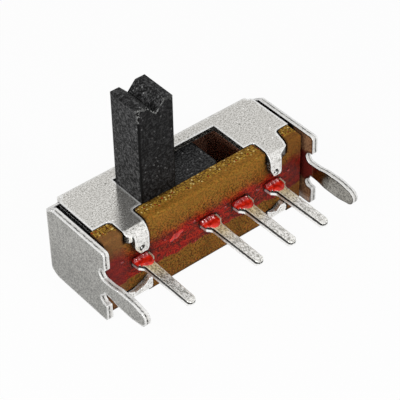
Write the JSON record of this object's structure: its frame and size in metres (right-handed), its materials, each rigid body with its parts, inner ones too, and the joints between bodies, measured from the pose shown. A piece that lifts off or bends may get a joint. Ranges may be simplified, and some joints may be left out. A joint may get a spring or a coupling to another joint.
{
  "type": "slide switch",
  "caption": "Right-angle slide switch: a tall grooved handle slides between stops in a slotted steel frame with bracket legs and flat solder pins in a laminate board.",
  "frame": {"origin": "middle of the outline's lower side: half way along the frame, half way from the pins' tips to the back wall's dimples, and level with the frame's base", "axes": "+X along the handle's travel from its rest end, -Y the way the solder pins and bracket legs point, +Z along the handle"},
  "size_m": [0.0128, 0.008, 0.0095],
  "materials": {
    "frame_steel": "plated steel sheet, semi-bright with a fine grain and bright sheared edges",
    "board_laminate": "brown phenolic paper laminate with fibrous punched edges",
    "terminal_plating": "silver-plated brass strip, satin",
    "red_lacquer": "glossy red sealing lacquer",
    "slider_plastic": "black moulded plastic, fine matt texture",
    "contact_spring": "bare spring bronze strip",
    "spring_wire": "drawn steel wire",
    "ball_steel": "polished steel ball"
  },
  "bodies": {
    "switch_body": {"metal_frame": "frame_steel", "terminal_board": "board_laminate", "common_terminal": "terminal_plating", "throw_terminal_1": "terminal_plating", "throw_terminal_2": "terminal_plating", "throw_terminal_3": "terminal_plating", "lacquer_seal": "red_lacquer"},
    "slider_body": {"slider": "slider_plastic", "bridge_contact": "contact_spring", "detent_spring": "spring_wire", "detent_ball": "ball_steel"}
  },
  "joints": [
    {"name": "handle_slide", "type": "slide", "parent": "switch_body", "child": "slider_body", "axis": [1, 0, 0], "range_m": [0, 0.00408]}
  ]
}
